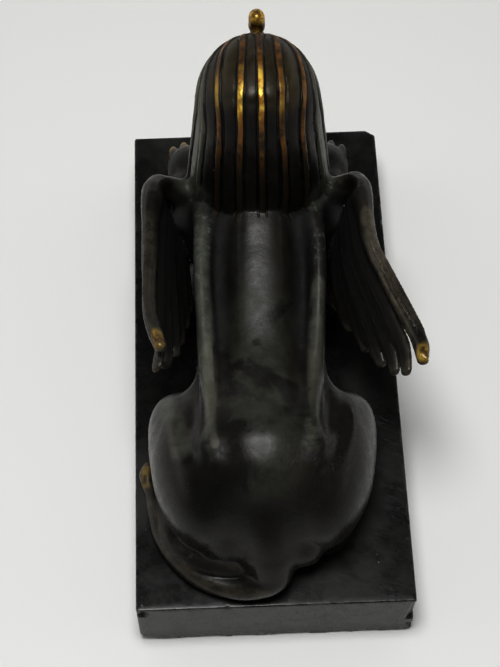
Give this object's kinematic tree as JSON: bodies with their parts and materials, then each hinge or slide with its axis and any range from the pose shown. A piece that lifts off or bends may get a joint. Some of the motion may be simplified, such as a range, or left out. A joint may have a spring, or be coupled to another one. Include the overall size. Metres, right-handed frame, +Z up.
{
  "type": "sphinx statue",
  "caption": "Reclining winged sphinx in dark bronze with a striped head cloth and gilt touches, cast as one, on a rectangular black slate plinth.",
  "frame": {"origin": "centre of the plinth's underside", "axes": "+Y the way the sphinx faces, along the plinth's length; +X its right side; +Z up"},
  "size_m": [0.1037, 0.2084, 0.1493],
  "materials": {
    "bronze": "cast bronze with a near-black satin patina, rubbed brown on its edges and gilt on the cloth's fillets, the cobra and the wing tips",
    "slate": "polished black slate, dusty and chipped at its edges"
  },
  "bodies": {
    "root": {"sphinx": "bronze", "plinth": "slate"}
  },
  "joints": []
}
